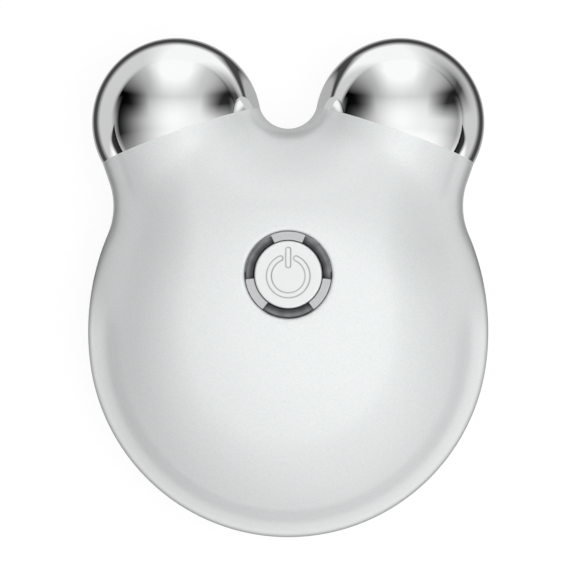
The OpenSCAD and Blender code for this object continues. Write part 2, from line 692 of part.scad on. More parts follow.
module battery_socket() color("white") under_board(socket_at) block(socket);
module battery_plug() color("#e6e2d6") under_board(socket_at) block(plug, socket.z);
module battery_leads() color("#b03028") for (s = [-1, 1])
    lead(route([s * battery_lead_x, body_c.y - battery_l / 2 + battery_tab, battery_z + battery_h],
               [s * battery_lead_x, socket_c.y, plug_foot], [0, 0, lead_out], [0, 0, -lead_out]));
module battery() color("#9aa3ad") translate([-battery_w / 2, body_c.y - battery_l / 2, battery_z])
    cube([battery_w, battery_l, battery_h]);
module battery_pad() color("#3a3a3a") translate([-pad_w / 2, rib_shift + body_c.y - pad_w / 2, floor_z])
    cube([pad_w, pad_w, pad_h]);

// ---- Charging port ----

module charging_port() color("#b9bdc2") translate([0, port_y, port_z]) {
    difference() {
        obround(port_w, port_h, port_l);
        translate([0, -eps, 0]) obround(port_w - 2 * port_metal, port_h - 2 * port_metal, port_l - port_back);
    }
    translate([-port_tongue.x / 2, port_back, -port_tongue.y / 2])
        cube([port_tongue.x, port_l - port_back - port_tongue_gap, port_tongue.y]);
}
module charger_board() color(board_green) difference() {
    translate([-charger.x / 2, charger_y - charger.y / 2, charger_z - charger.z]) cube(charger);
    for (b = charger_bosses) translate([b.x, b.y, 0]) cylinder(r = charger_screw_r + screw_gap, h = port_z);
}
module charger_chip() color("#22252a") translate([0, charger_y + port_tongue_gap, charger_z])
    block(charger_chip_size);
module charger_screws() color(steel) for (b = charger_bosses)
    translate([b.x, b.y, charger_z]) mirror([0, 0, 1])
        screw(charger_screw_r, charger_screw_l, charger_screw_head);
module charger_leads() color("#2c3e50") for (s = [-1, 1])
    lead(route([s * charger_lead.x, charger_y + charger_lead.y, charger_z],
               [s * charger_lead.x, body_c.y - board_r + charger_lead_in, board_foot],
               [0, 0, lead_out], [0, 0, -lead_out]));

front_shell();
rear_shell();
left_sphere();
right_sphere();
left_electrode_base();
right_electrode_base();
left_sphere_seal();
right_sphere_seal();
electrode_terminals();
electrode_screws();
left_electrode_lead();
right_electrode_lead();
button_cap();
button_ring();
light_guide();
return_dome();
switch_body();
switch_plunger();
main_board();
board_screws();
indicator_leds();
microcontroller();
boost_transformer();
capacitors();
buzzer();
battery_socket();
battery_plug();
battery_leads();
battery();
battery_pad();
charging_port();
charger_board();
charger_chip();
charger_screws();
charger_leads();
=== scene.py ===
"""Dressed look of a palm-sized facial toning device: pearl housing, two chrome spheres, one ringed power button."""

import bmesh
import bpy
import numpy as np
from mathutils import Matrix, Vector


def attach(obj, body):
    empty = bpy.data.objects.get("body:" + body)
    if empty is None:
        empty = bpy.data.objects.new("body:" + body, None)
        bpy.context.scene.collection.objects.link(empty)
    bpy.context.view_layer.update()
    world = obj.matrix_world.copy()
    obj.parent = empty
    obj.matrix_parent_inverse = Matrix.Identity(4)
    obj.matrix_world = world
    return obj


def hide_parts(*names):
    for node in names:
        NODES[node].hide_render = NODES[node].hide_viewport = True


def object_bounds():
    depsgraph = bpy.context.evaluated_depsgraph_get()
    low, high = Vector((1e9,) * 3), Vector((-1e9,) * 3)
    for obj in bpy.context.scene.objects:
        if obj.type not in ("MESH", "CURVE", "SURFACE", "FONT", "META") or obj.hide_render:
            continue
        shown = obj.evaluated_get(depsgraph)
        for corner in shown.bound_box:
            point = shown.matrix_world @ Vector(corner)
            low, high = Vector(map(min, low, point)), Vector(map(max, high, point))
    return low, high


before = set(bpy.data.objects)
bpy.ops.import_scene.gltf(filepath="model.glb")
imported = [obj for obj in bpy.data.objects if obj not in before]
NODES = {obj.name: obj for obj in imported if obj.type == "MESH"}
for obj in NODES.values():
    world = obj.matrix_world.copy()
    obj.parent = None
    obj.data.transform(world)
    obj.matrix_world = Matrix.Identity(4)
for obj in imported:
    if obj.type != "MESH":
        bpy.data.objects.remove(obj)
cad_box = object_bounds()
MM = 0.001
WELD = 1e-7
BUMP_HEIGHT = 0.00002

# ---- Sizes of the part, in millimetres and degrees ----
sphere_r, sphere_x, sphere_rise, neck_tilt, rim_drop = 15.25, 20.1, 38.7, 19.3, 2.6
body_r, flank_r, flank_from, waist_r = 36, 45, -7, 13
edge_r, edge_blend, front_depth, back_depth, rest_share, wall = 19, 30, 20.5, 18.5, 0.45, 2
button_rise, cap_r, ring_w, ring_proud, cap_gap, joint_gap = 11.2, 5.8, 1.4, 0.3, 0.15, 0.12
symbol_depth, symbol_r, symbol_w, symbol_drop, symbol_break = 0.15, 3.3, 1, 0.24, 48
bar_from, bar_to, window_pitch, window_span, lens_t, cut_short = 1.33, 5, 120, 48, 1, 0.02
port_y, port_drop, port_w, port_h, port_gap, port_reach = -42.975, 5, 8.9, 3.2, 0.2, 3
sphere_wall, ring_edge, ring_foot, flange_t, flange_w = 1.4, 0.24, 4.2, 0.8, 2.2
# The last two size the painted shade line along each wall of the symbol's channel.
cap_edge, cap_foot, slope_in, slope_w, groove_w, groove_in = 0.35, 3.6, 0.14, 0.16, 0.2, 0.08
lip_w, lip_profile = 0.42, ((0, 2.6), (0, 0.5), (0.04, 0.32), (0.12, 0.17), (0.25, 0.06))
hairline_in, hairline_h = 0.16, 0.09

parting_z = back_depth
body_c = np.array([0, (body_r - sphere_rise - sphere_r) / 2])
sphere_y = body_c[1] + sphere_rise
button_c = np.array([0, body_c[1] + button_rise])
ring_in = cap_r + cap_gap
ring_out = ring_in + ring_w
seat_r = ring_out + joint_gap
ring_top = parting_z + front_depth + ring_proud


def turn(degrees):
    return np.array([np.cos(np.radians(degrees)), np.sin(np.radians(degrees))])


def bearing(v):
    return np.degrees(np.arctan2(v[..., 1], v[..., 0]))


def length(v):
    return np.hypot(v[..., 0], v[..., 1])


# ---- Outline of the housing: the same arcs as the solid's, for the right half ----
along, across = turn(90 - neck_tilt), turn(-neck_tilt)
rim_r = np.sqrt(sphere_r**2 - rim_drop**2)
rim_c = np.array([sphere_x, sphere_y]) - rim_drop * along
rim_outer, rim_inner = rim_c + rim_r * across, rim_c - rim_r * across
flank_c = body_c - (flank_r - body_r) * turn(flank_from)
waist_start = rim_outer + waist_r * across
from_flank = waist_start - flank_c
waist_run = from_flank @ along
neck_l = waist_run - np.sqrt(waist_run**2 - from_flank @ from_flank + (flank_r + waist_r) ** 2)
waist_c = waist_start - neck_l * along
flank_to = bearing(waist_c - flank_c)
saddle_r = rim_inner[0] / np.cos(np.radians(neck_tilt))
saddle_c = np.array([0, rim_inner[1] + saddle_r * np.sin(np.radians(neck_tilt))])
crown_r = (saddle_c[1] - saddle_r - body_c[1] + body_r) / 2
crown_c = np.array([0, saddle_c[1] - saddle_r - crown_r])


def arc(centre, radius, start, end, steps):
    """Points on a circle from one bearing to another, the last left out."""
    a = np.radians(start + (end - start) * np.arange(steps) / steps)
    return centre + radius * np.stack([np.cos(a), np.sin(a)], 1)


def outline_points():
    """Body, flank and waist arcs, the straight neck side, the rim's line at even angles of its disc, and the saddle,
    then the mirror image, so that the whole runs round anticlockwise from the foot."""
    rim_a = np.radians(180 * np.arange(48) / 48)
    right = np.concatenate([
        arc(body_c, body_r, -90, flank_from, 84),
        arc(flank_c, flank_r, flank_from, flank_to, 38),
        arc(waist_c, waist_r, 180 + flank_to, 180 - neck_tilt, 22),
        waist_c - waist_r * across + np.linspace(0, 1, 8, endpoint=False)[:, None] * neck_l * along,
        rim_c + rim_r * np.cos(rim_a)[:, None] * across,
        arc(saddle_c, saddle_r, -neck_tilt, -90, 24),
    ])
    top = saddle_c - [0, saddle_r]
    return np.concatenate([right, top[None], right[:0:-1] * [-1, 1]])


def edge_distance(p):
    """Distance of each point inside the outline from the nearest free edge: least over the arcs it faces."""
    q = np.stack([abs(p[..., 0]), p[..., 1]], -1)
    far = 1e3
    waist_b = bearing(q - waist_c) % 360
    flank_b = bearing(q - flank_c)
    return np.minimum.reduce([
        np.where(bearing(q - body_c) <= flank_from, body_r - length(q - body_c), far),
        np.where((flank_b >= flank_from) & (flank_b <= flank_to), flank_r - length(q - flank_c), far),
        np.where((waist_b >= 180 - neck_tilt) & (waist_b <= 180 + flank_to), length(q - waist_c) - waist_r, far),
        np.where((rim_c - q) @ along <= neck_l, rim_r - (q - rim_c) @ across, far),
        length(q - saddle_c) - saddle_r,
    ])


def smooth(t):
    u = np.clip(t, 0, 1)
    return u * u * (3 - 2 * u)


def share(p):
    """Share of the way from the button's axis to the crown circle, along the ray through each point."""
    v, m = p - button_c, button_c - crown_c
    b, size = v @ m, length(v)
    return size**2 / (np.sqrt(b * b + size**2 * (crown_r**2 - m @ m)) - b + 1e-9)


def face_height(p, depth, front):
    """Height of a face above the parting plane, depth inside the outer skin: a quarter-round edge whose radius grows
    from the neck's to the body's, scaled up by a crown over the middle."""
    radius = rim_r + (edge_r - rim_r) * smooth((rim_outer[1] - p[..., 1]) / edge_blend)
    q = 1 - (np.minimum(edge_distance(p), radius) - depth) / (radius - depth)
    if front:
        crown = np.maximum(0, 1 - share(p) ** 3) ** 2
    else:
        crown = 1 - smooth((share(p) - rest_share) / (1 - rest_share))
    top = rim_r + ((front_depth if front else back_depth) - rim_r) * crown
    return (top - depth) * np.sqrt(np.maximum(0, 1 - q * q))


# ---- Mesh making ----
def new_piece(name, points, faces, material, body, stands_for, slot, sharp=35):
    """A piece from points in millimetres and lists of corners, smooth apart from edges sharper than an angle. Points
    that fall together are welded, which closes its poles and seams."""
    mesh = bpy.data.meshes.new(name)
    low, high = (np.array(v) for v in cad_box)
    mesh.from_pydata(np.clip(points * MM, low, high), [], faces)
    weld = bmesh.new()
    weld.from_mesh(mesh)
    bmesh.ops.remove_doubles(weld, verts=weld.verts, dist=WELD)
    weld.to_mesh(mesh)
    weld.free()
    mesh.validate()
    mesh.polygons.foreach_set("use_smooth", np.ones(len(mesh.polygons), bool))
    mesh.set_sharp_from_angle(angle=np.radians(sharp))
    mesh.materials.append(material)
    piece = bpy.data.objects.new(name, mesh)
    bpy.context.scene.collection.objects.link(piece)
    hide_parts(*stands_for)
    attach(piece, body)
    return piece


def grid_faces(rows, columns):
    """Corners of the quads between neighbouring rows, each row a ring of columns. They face the viewer for whom rows
    grow inwards and columns run anticlockwise."""
    j, i = np.meshgrid(np.arange(rows - 1), np.arange(columns), indexing="ij")
    k = (i + 1) % columns
    a = j * columns
    return np.stack([a + i, a + k, a + columns + k, a + columns + i], -1).reshape(-1, 4)


def housing_shell(front):
    """A closed shell on rings about the button's axis. The outer rings run from the hole's lip, or from the pole, to
    the outline; a hairline step marks the parting; the inner rings run back at wall depth, for the front as far as
    the first ring again."""
    outline = outline_points()
    count = len(outline)
    reach = outline - button_c
    rows, inner_rows = 96, 20
    hole = (seat_r + lip_w) / length(reach) if front else np.zeros(count)
    s = np.sin(np.radians(90 * np.arange(rows + 1) / rows))
    rings = []
    if front:
        top = face_height(button_c + reach * hole[:, None], 0, True)
        for out, drop in lip_profile:
            lip = button_c + reach * ((seat_r + out) / length(reach))[:, None]
            rings.append(np.column_stack([lip, top - drop]))
    for share_out in s:
        p = button_c + reach * (hole + (1 - hole) * share_out)[:, None]
        z = face_height(p, 0, front)
        rings.append(np.column_stack([p, np.maximum(z, hairline_h)]))
    slope = edge_slope(outline, reach)
    inner_share, hairline = 1 - wall / slope, button_c + reach * (1 - hairline_in / slope)[:, None]
    rings += [np.column_stack([hairline, np.full(count, h)]) for h in (hairline_h, 0)]
    inner_hole = seat_r / length(reach) if front else hole
    for share_out in s[::-1][:: rows // inner_rows]:
        p = button_c + reach * (inner_hole + (inner_share - inner_hole) * share_out)[:, None]
        rings.append(np.column_stack([p, np.where(share_out == 1, 0, face_height(p, wall, front))]))
    if front:
        rings.append(rings[0])
    points = np.concatenate(rings)
    faces = grid_faces(len(rings), count)
    if front:
        faces = faces[:, ::-1]
    else:
        points[:, 2] *= -1
    points[:, 2] += parting_z
    return points, faces


def edge_slope(outline, reach):
    """How far each ray runs squarely to the edge, so that a depth there becomes a share of the ray."""
    step = np.roll(outline, -1, 0) - np.roll(outline, 1, 0)
    normal = np.stack([step[:, 1], -step[:, 0]], -1) / np.maximum(length(step), 1e-9)[:, None]
    return np.maximum((reach * normal).sum(1), 4)


def port_cutter():
    """The charging hole's obround, swept along Y through the rear shell's wall."""
    w, h = port_w + 2 * port_gap, port_h + 2 * port_gap
    a = np.radians(np.arange(-90, 90, 9) + 4.5)
    right = np.stack([(w - h) / 2 + h / 2 * np.cos(a), h / 2 * np.sin(a)], 1)
    loop = np.concatenate([right, -right])
    ends = [np.column_stack([loop[:, 0], np.full(len(loop), y), loop[:, 1] + parting_z - port_drop])
            for y in (port_y - port_reach, port_y + port_reach)]
    n = len(loop)
    faces = [tuple(f) for f in grid_faces(2, n)[:, ::-1]] + [tuple(range(n)), tuple(range(2 * n - 1, n - 1, -1))]
    mesh = bpy.data.meshes.new("port_cutter")
    mesh.from_pydata(np.concatenate(ends) * MM, [], faces)
    cutter = bpy.data.objects.new("port_cutter", mesh)
    bpy.context.scene.collection.objects.link(cutter)
    return cutter


def cut(piece, cutter):
    """Takes the cutter out of the piece and leaves the result in the piece's own mesh."""
    knife = piece.modifiers.new("hole", "BOOLEAN")
    knife.object, knife.operation, knife.solver = cutter, "DIFFERENCE", "EXACT"
    graph = bpy.context.evaluated_depsgraph_get()
    mesh = bpy.data.meshes.new_from_object(piece.evaluated_get(graph))
    piece.modifiers.clear()
    piece.data = mesh
    bpy.data.objects.remove(cutter)


def at_neck(points, side):
    """Places points whose Z is a sphere's own axis on the neck of the given side."""
    a = np.radians(side * neck_tilt)
    x, y, z = points[..., 0], points[..., 2], -points[..., 1]
    return np.stack([x * np.cos(a) + y * np.sin(a) + side * sphere_x, -x * np.sin(a) + y * np.cos(a) + sphere_y,
                     z + parting_z], -1)


def sphere_skin():
    """A hollow ball cut off at its seat: rings at even steps down from the pole, and the wall's inner side back."""
    outer_rings, inner_rings, columns = 150, 24, 256
    seat = np.degrees(np.arccos(-rim_drop / sphere_r))
    down = np.radians(np.linspace(0, seat, outer_rings))
    outer = np.column_stack([sphere_r * np.sin(down), sphere_r * np.cos(down)])
    inner_r = sphere_r - sphere_wall
    inner_seat = np.degrees(np.arccos(-rim_drop / inner_r))
    up = np.radians(np.linspace(inner_seat, 0, inner_rings))
    inner = np.column_stack([inner_r * np.sin(up), inner_r * np.cos(up)])
    profile = np.concatenate([outer, inner])
    a = np.radians(360 * np.arange(columns) / columns)
    rings = [np.column_stack([r * np.cos(a), r * np.sin(a), np.full(columns, z)]) for r, z in profile]
    return np.concatenate(rings), grid_faces(len(profile), columns)[:, ::-1]


def ring_skin():
    """The ring's rounded section carried round the button's axis. Where a light window sits the section is cut down
    by the lens's thickness, with both heights on one bearing so that the cut's wall is upright."""
    edge, top, foot, flange_r = ring_edge, ring_top, ring_top - ring_foot, seat_r + flange_w
    corner = np.radians(np.linspace(0, 90, 6))
    outer = [(ring_out - edge + edge * np.cos(c), top - edge + edge * np.sin(c)) for c in corner]
    inner = [(ring_in + edge - edge * np.sin(c), top - edge + edge * np.cos(c)) for c in corner]
    low = [(ring_in, foot), (flange_r, foot), (flange_r, foot + flange_t), (ring_out, foot + flange_t)]
    across_top = [(r, top) for r in np.linspace(ring_out - edge, ring_in + edge, 8)[1:-1]]
    profile = np.array(low + outer + across_top + inner)
    window_steps, plate_steps = 18, 26
    bearings, cut_down = [], []
    for window in (90, 210, 330):
        start, end = window - window_span / 2, window + window_span / 2
        bearings += [start, start, *np.linspace(start, end, window_steps)[1:-1], end, end]
        cut_down += [0, *[1] * window_steps, 0]
        bearings += list(np.linspace(end, end + window_pitch - window_span, plate_steps)[1:-1])
        cut_down += [0] * (plate_steps - 2)
    a, low_here = np.radians(bearings), np.array(cut_down)
    z = np.where((profile[:, 1] > top - 2)[None], profile[:, 1][None] - (lens_t - cut_short) * low_here[:, None],
                 profile[:, 1][None])
    r = np.repeat(profile[:, 0][None], len(a), 0)
    points = np.stack([r * np.cos(a)[:, None] + button_c[0], r * np.sin(a)[:, None] + button_c[1], z], -1)
    points = np.concatenate([points, points[:1]])
    return points.reshape(-1, 3), grid_faces(len(points), len(profile))[:, [0, 3, 2, 1]]


def paint_ring_reflection(x, y, z):
    """Painted reflection on the ring's moulded face, a factor on its colour: dark at the bore and at each plated arc's
    ends, paler outwards with faint radial streaks, and a rolled outer edge with a painted highlight above and painted
    shade below."""
    r, a = np.hypot(x, y), np.degrees(np.arctan2(y, x))
    out = np.clip((r - ring_in) / ring_w, 0, 1)
    half = window_pitch / 2
    to_end = np.clip(half - window_span / 2 - abs((a - 30 + half) % window_pitch - half), 0, half)
    streaks = 1 + 0.16 * np.sin(np.radians(a * 17)) * np.sin(np.radians(a * 5 + 40))
    # painted reflection: darker at the bore and the plated arcs' ends, paler outwards, with streaks
    face = (0.42 + 0.85 * smooth((out - 0.2) / 0.6)) * (0.5 + 0.5 * smooth(to_end / 8)) * streaks
    # painted highlight on the rolled edge's upper half, painted shade on its lower half
    rolled = (z < ring_top - 0.02) & (r > ring_out - ring_edge)
    return np.where(rolled, np.where(y > 0.6, 3.0, 0.5), face)


def stroke_distance(x, y):
    """Distance of each point from the middle line of a generic power symbol: a circle broken at the top, and a bar."""
    y = y + symbol_drop
    r, a = np.hypot(x, y), np.degrees(np.arctan2(y, x))
    from_gap = abs((a - 90 + 180) % 360 - 180)
    half = symbol_break / 2
    end = symbol_r * turn(90 - half)
    circle = np.where(from_gap > half, abs(r - symbol_r), np.hypot(abs(x) - end[0], y - end[1]))
    low, high = bar_from + symbol_w / 2, bar_to - symbol_w / 2
    bar = np.hypot(x, y - np.clip(y, low, high))
    return np.minimum(circle, bar)


def cap_skin():
    """The cap's top on a polar grid, flat with a rounded edge, with the symbol pressed in as a channel with sloping
    sides. A straight side and a flat foot close it."""
    columns, rows = 420, 110
    a, edge = np.radians(360 * np.arange(columns) / columns), cap_edge
    r = np.concatenate([np.linspace(0, cap_r - edge, rows),
                        cap_r - edge + edge * np.sin(np.radians(np.linspace(9, 90, 10)))])
    x, y = r[:, None] * np.cos(a)[None], r[:, None] * np.sin(a)[None]
    rounded = edge - np.sqrt(np.maximum(0, edge**2 - np.maximum(0, r - cap_r + edge) ** 2))
    pressed = symbol_depth * (1 - smooth((stroke_distance(x, y) - symbol_w / 2 + slope_in) / slope_w))
    z = ring_top - rounded[:, None] - pressed
    rings = [np.stack([x[j], y[j], z[j]], -1) for j in range(len(r))]
    rings += [np.stack([k * x[-1], k * y[-1], np.full(columns, ring_top - cap_foot)], -1) for k in (1, 0)]
    points = np.concatenate(rings) + [button_c[0], button_c[1], 0]
    return points, grid_faces(len(rings), columns)[:, ::-1]


# ---- Finishes ----
def tree(material):
    material.use_nodes = True
    return material.node_tree.nodes, material.node_tree.links


class Signal:
    """A number on a node tree, with plain arithmetic, so that shading formulas read as formulas."""

    def __init__(self, node_tree, socket):
        self.tree, self.socket = node_tree, socket

    def node(self, kind, *values):
        node = self.tree.nodes.new("ShaderNodeMath")
        node.operation = kind
        for entry, value in zip(node.inputs, values):
            if isinstance(value, Signal):
                self.tree.links.new(value.socket, entry)
            else:
                entry.default_value = value
        return Signal(self.tree, node.outputs[0])

    def __add__(self, other):
        return self.node("ADD", self, other)

    def __sub__(self, other):
        return self.node("SUBTRACT", self, other)

    def __rsub__(self, other):
        return self.node("SUBTRACT", other, self)

    def __mul__(self, other):
        return self.node("MULTIPLY", self, other)

    def __truediv__(self, other):
        return self.node("DIVIDE", self, other)

    def __rtruediv__(self, other):
        return self.node("DIVIDE", other, self)

    def __pow__(self, other):
        return self.node("POWER", self, other)

    def __abs__(self):
        return self.node("ABSOLUTE", self)

    def at_least(self, other):
        return self.node("MAXIMUM", self, other)

    def at_most(self, other):
        return self.node("MINIMUM", self, other)

    def over(self, limit):
        return self.node("GREATER_THAN", self, limit)

    def rises(self, low, high):
        """0 up to low, 1 from high on, even in between."""
        return ((self - low) / (high - low)).at_least(0).at_most(1)

    def falls(self, low, high):
        """1 up to low, 0 from high on, even in between."""
        return 1 - self.rises(low, high)


def mix(weight, at_0, at_1):
    return (1 - weight) * at_0 + weight * at_1


def away(x, y):
    return (x * x + y * y) ** 0.5


def coordinates(node_tree, kind):
    """The three axes of one kind of texture coordinate, as signals."""
    place, axes = node_tree.nodes.new("ShaderNodeTexCoord"), node_tree.nodes.new("ShaderNodeSeparateXYZ")
    node_tree.links.new(place.outputs[kind], axes.inputs[0])
    return [Signal(node_tree, socket) for socket in axes.outputs]


def rays(node_tree):
    """Three signals: 1 on rays straight from the camera, 1 on mirrored rays, and the number of bounces so far."""
    path = node_tree.nodes.new("ShaderNodeLightPath").outputs
    names = ("Is Camera Ray", "Is Transmission Ray", "Is Glossy Ray", "Ray Depth")
    camera_ray, clear_ray, mirrored, bounces = (Signal(node_tree, path[name]) for name in names)
    return camera_ray.at_least(clear_ray), mirrored, bounces


def surface_group():
    """Fine variation shared by every finish: a speckle and a broad mottle over object space, given as a colour tint,
    a roughness and a height."""
    group = bpy.data.node_groups.new("fine_surface", "ShaderNodeTree")
    for in_out, names in (("INPUT", ("Colour", "Roughness", "Scale", "Speckle", "Mottle")),
                          ("OUTPUT", ("Colour", "Roughness", "Height"))):
        for name in names:
            kind = "NodeSocketColor" if name == "Colour" else "NodeSocketFloat"
            group.interface.new_socket(name, in_out=in_out, socket_type=kind)
    nodes, links = group.nodes, group.links
    enter, leave = nodes.new("NodeGroupInput"), nodes.new("NodeGroupOutput")
    place = nodes.new("ShaderNodeTexCoord")
    fine, broad = nodes.new("ShaderNodeTexNoise"), nodes.new("ShaderNodeTexNoise")
    links.new(place.outputs["Object"], fine.inputs["Vector"])
    links.new(place.outputs["Object"], broad.inputs["Vector"])
    links.new(enter.outputs["Scale"], fine.inputs["Scale"])
    fine.inputs["Detail"].default_value = 2
    broad.inputs["Scale"].default_value = 90
    broad.inputs["Detail"].default_value = 3
    speckle, mottle, roughness = (Signal(group, enter.outputs[name]) for name in ("Speckle", "Mottle", "Roughness"))
    speck = (Signal(group, fine.outputs["Fac"]) - 0.5) * speckle
    cloud = (Signal(group, broad.outputs["Fac"]) - 0.5) * mottle
    tint = nodes.new("ShaderNodeVectorMath")
    tint.operation = "SCALE"
    links.new(enter.outputs["Colour"], tint.inputs[0])
    links.new((speck + cloud + 1).socket, tint.inputs["Scale"])
    links.new(tint.outputs[0], leave.inputs["Colour"])
    links.new((roughness + (speck * 0.5 + cloud)).at_least(0.02).socket, leave.inputs["Roughness"])
    links.new(fine.outputs["Fac"], leave.inputs["Height"])
    return group


FINE = surface_group()


def finish(name, colour, roughness, scale=3000, speckle=0.1, mottle=0.05, bump=0.0, **sockets):
    """A Principled finish whose colour, roughness and bump come from the fine surface, with its constants set on the
    shader's own sockets."""
    material = bpy.data.materials.new(name)
    nodes, links = tree(material)
    shader = nodes["Principled BSDF"]
    fine = nodes.new("ShaderNodeGroup")
    fine.node_tree = FINE
    for socket, value in (("Colour", (*colour, 1)), ("Roughness", roughness), ("Scale", scale), ("Speckle", speckle),
                          ("Mottle", mottle)):
        fine.inputs[socket].default_value = value
    links.new(fine.outputs["Colour"], shader.inputs["Base Color"])
    links.new(fine.outputs["Roughness"], shader.inputs["Roughness"])
    if bump:
        height = nodes.new("ShaderNodeBump")
        height.inputs["Strength"].default_value = bump
        height.inputs["Distance"].default_value = BUMP_HEIGHT
        links.new(fine.outputs["Height"], height.inputs["Height"])
        links.new(height.outputs["Normal"], shader.inputs["Normal"])
    for socket, value in sockets.items():
        shader.inputs[socket.replace("_", " ")].default_value = value
    return material


def tint_by(material, attribute):
    """Multiplies a finish's colour by the piece's own attribute."""
    nodes, links = tree(material)
    colour = nodes["Principled BSDF"].inputs["Base Color"].links[0].from_socket
    value, scaled = nodes.new("ShaderNodeAttribute"), nodes.new("ShaderNodeVectorMath")
    value.attribute_name, scaled.operation = attribute, "SCALE"
    links.new(colour, scaled.inputs[0])
    links.new(value.outputs["Fac"], scaled.inputs["Scale"])
    links.new(scaled.outputs[0], nodes["Principled BSDF"].inputs["Base Color"])


def from_button(piece):
    """Distance from the button's axis, bearing and height of each of a piece's points, in millimetres and degrees."""
    spots = np.empty(len(piece.data.vertices) * 3)
    piece.data.vertices.foreach_get("co", spots)
    spots = spots.reshape(-1, 3) / MM - [*button_c, 0]
    return spots[:, 0], spots[:, 1], spots[:, 2]


def set_attribute(piece, name, values):
    piece.data.attributes.new(name, "FLOAT", "POINT").data.foreach_set("value", values)


pearl = finish("pearl_lacquer", (0.832, 0.862, 0.857), 0.3, scale=3200, speckle=0.17, mottle=0.02, bump=0.25,
               Metallic=0.06, Coat_Weight=1.0, Coat_Roughness=0.1)
# white lacquer; its colour also carries the painted shade lines along the symbol's channel
cap_lacquer_painted_shade = finish("cap_lacquer", (0.86, 0.87, 0.87), 0.36, scale=9000, speckle=0.08, mottle=0.02, bump=0.1,
                   Metallic=0.25, Coat_Weight=0.2, Coat_Roughness=0.15)
chrome = finish("polished_chrome", (0.955, 0.958, 0.962), 0.045, scale=1500, speckle=0.02, mottle=0.02, Metallic=1.0)
# dark chrome, brightened and darkened by the ring's painted reflection
ring_chrome_painted_light = finish("ring_chrome_painted_light", (0.17, 0.175, 0.18), 0.16, scale=2500, speckle=0.08, mottle=0.05, Metallic=1.0)
frosted = finish("frosted_lens", (0.68, 0.69, 0.70), 0.5, scale=5000, speckle=0.06, mottle=0.03, bump=0.1,
                 Transmission_Weight=0.15)

node_finishes = {
    finish("moulded_insulator", (0.80, 0.80, 0.78), 0.5, 4000, 0.06, 0.04, 0.15):
        ("left_electrode_base", "right_electrode_base"),
    finish("soft_silicone", (0.66, 0.66, 0.63), 0.62, 3000, 0.08, 0.08, 0.2, Subsurface_Weight=0.1):
        ("left_sphere_seal", "right_sphere_seal", "return_dome"),
    finish("plated_terminal", (0.72, 0.55, 0.28), 0.3, 3500, 0.12, 0.1, 0.1, Metallic=1.0): ("electrode_terminals",),
    finish("zinc_steel", (0.55, 0.56, 0.58), 0.32, 3500, 0.15, 0.12, 0.1, Metallic=1.0):
        ("electrode_screws", "board_screws", "charger_screws"),
    finish("red_insulation", (0.42, 0.04, 0.03), 0.45, 4000, 0.1, 0.08, 0.1): ("left_electrode_lead", "battery_leads"),
    finish("dark_insulation", (0.03, 0.05, 0.08), 0.45, 4000, 0.1, 0.08, 0.1):
        ("right_electrode_lead", "charger_leads"),
    frosted: ("light_guide",),
    finish("switch_moulding", (0.035, 0.037, 0.042), 0.48, 5000, 0.15, 0.08, 0.15): ("switch_body", "buzzer"),
    finish("plunger_moulding", (0.015, 0.015, 0.016), 0.4, 5000, 0.15, 0.08, 0.15): ("switch_plunger",),
    finish("solder_mask", (0.02, 0.16, 0.075), 0.38, 1200, 0.25, 0.25, 0.15, Coat_Weight=0.3):
        ("main_board", "charger_board"),
    finish("lamp_resin", (0.80, 0.78, 0.60), 0.3, 4000, 0.08, 0.05, Transmission_Weight=0.2): ("indicator_leds",),
    finish("chip_epoxy", (0.018, 0.019, 0.022), 0.55, 6000, 0.2, 0.1, 0.2): ("microcontroller", "charger_chip"),
    finish("wound_copper", (0.30, 0.10, 0.035), 0.36, 2500, 0.35, 0.15, 0.3, Metallic=0.5): ("boost_transformer",),
    finish("capacitor_sleeve", (0.03, 0.06, 0.16), 0.35, 3000, 0.12, 0.1, 0.1, Coat_Weight=0.2): ("capacitors",),
    finish("connector_nylon", (0.76, 0.74, 0.66), 0.5, 4000, 0.08, 0.06, 0.15): ("battery_socket", "battery_plug"),
    finish("cell_pouch", (0.45, 0.47, 0.50), 0.34, 1800, 0.2, 0.15, 0.25, Metallic=0.7): ("battery",),
    finish("open_foam", (0.035, 0.035, 0.036), 0.9, 2200, 0.8, 0.3, 0.9): ("battery_pad",),
    finish("port_steel", (0.56, 0.57, 0.58), 0.28, 3500, 0.12, 0.08, 0.1, Metallic=1.0): ("charging_port",),
}
for material, names in node_finishes.items():
    for name in names:
        mesh = NODES[name].data
        mesh.materials.clear()
        mesh.materials.append(material)

# ---- Pieces ----
new_piece("front_housing", *housing_shell(True), pearl, "housing", ["front_shell"], "housing")
rear = new_piece("rear_housing", *housing_shell(False), pearl, "housing", ["rear_shell"], "housing")
cut(rear, port_cutter())
for label, side in (("left", -1), ("right", 1)):
    points, faces = sphere_skin()
    new_piece(label + "_electrode_ball", at_neck(points, side), faces, chrome, "housing", [label + "_sphere"],
              "chrome", 60)
bezel = new_piece("ringed_bezel", *ring_skin(), ring_chrome_painted_light, "housing", ["button_ring"], "chrome", 30)
# paints the ring's reflection and shade into the bezel's colour
set_attribute(bezel, "shade", paint_ring_reflection(*from_button(bezel)))
tint_by(ring_chrome_painted_light, "shade")
cap = new_piece("pressed_cap", *cap_skin(), cap_lacquer_painted_shade, "button", ["button_cap"], "cap", 50)
# Painted shade: the cap's top is darkened in a thin line along each wall of the symbol's channel.
cap_x, cap_y, cap_z = from_button(cap)
off_wall = abs(stroke_distance(cap_x, cap_y) - symbol_w / 2 + groove_in)
groove = np.where(cap_z > ring_top - 0.5, np.clip(1 - off_wall / groove_w, 0, 1), 0)
set_attribute(cap, "groove", 1 - 0.5 * groove)
tint_by(cap_lacquer_painted_shade, "groove")

